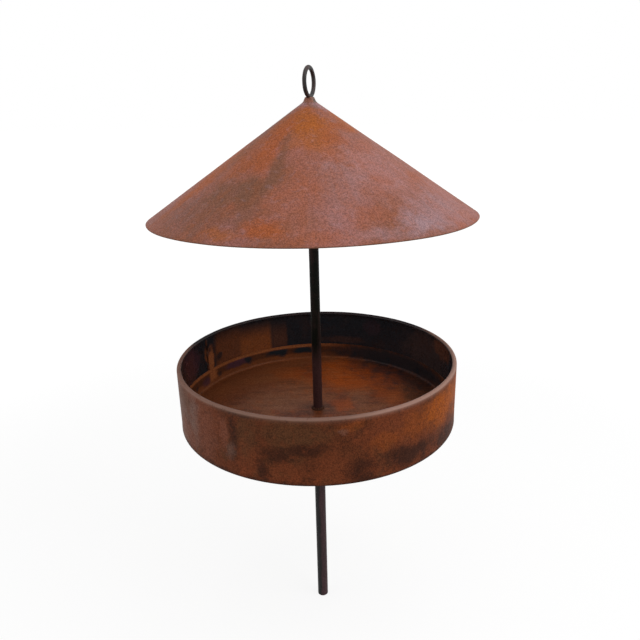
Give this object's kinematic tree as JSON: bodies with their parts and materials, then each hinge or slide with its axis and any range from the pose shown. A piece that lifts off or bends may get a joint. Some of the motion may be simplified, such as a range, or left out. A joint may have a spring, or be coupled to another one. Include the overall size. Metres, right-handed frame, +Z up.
{
  "type": "bird feeder",
  "caption": "Round steel bird feeder: a shallow tray with a wired rim under a cone roof, on one rod that plugs into a pointed ground stake.",
  "frame": {"origin": "on the stake's axis at ground level", "axes": "+Z up along the stake, +Y across the hanging ring's plane from front to back, +X along the ring's axis"},
  "size_m": [0.317, 0.317, 0.7967],
  "materials": {
    "roof_rust": "satin rust, ochre to mauve",
    "tray_rust": "satin dark rust with orange patches",
    "floor_rust": "semi-gloss orange-brown rust",
    "ring_steel": "dark satin steel",
    "rod_rust": "near-black rust",
    "stake_steel": "dark grey-brown satin"
  },
  "bodies": {
    "stake": {"stake_tube": "stake_steel", "stake_point": "stake_steel"},
    "washer": {"support_washer": "stake_steel"},
    "head": {"roof_cone": "roof_rust", "roof_seam_weld": "roof_rust", "tip_weld": "roof_rust", "hanging_ring": "ring_steel", "roof_rod_weld": "rod_rust", "centre_rod": "rod_rust", "tray_wall": "tray_rust", "rim_wire": "rod_rust", "wall_seam_weld": "tray_rust", "tray_floor": "floor_rust", "floor_rod_weld": "floor_rust"}
  },
  "joints": [
    {"name": "head_turn", "type": "hinge", "parent": "stake", "child": "washer", "pos_m": [0, 0, 0.2475], "axis": [0, 0, 1], "continuous": true},
    {"name": "head_lift", "type": "slide", "parent": "washer", "child": "head", "axis": [0, 0, 1], "range_m": [0, 0.08]}
  ]
}
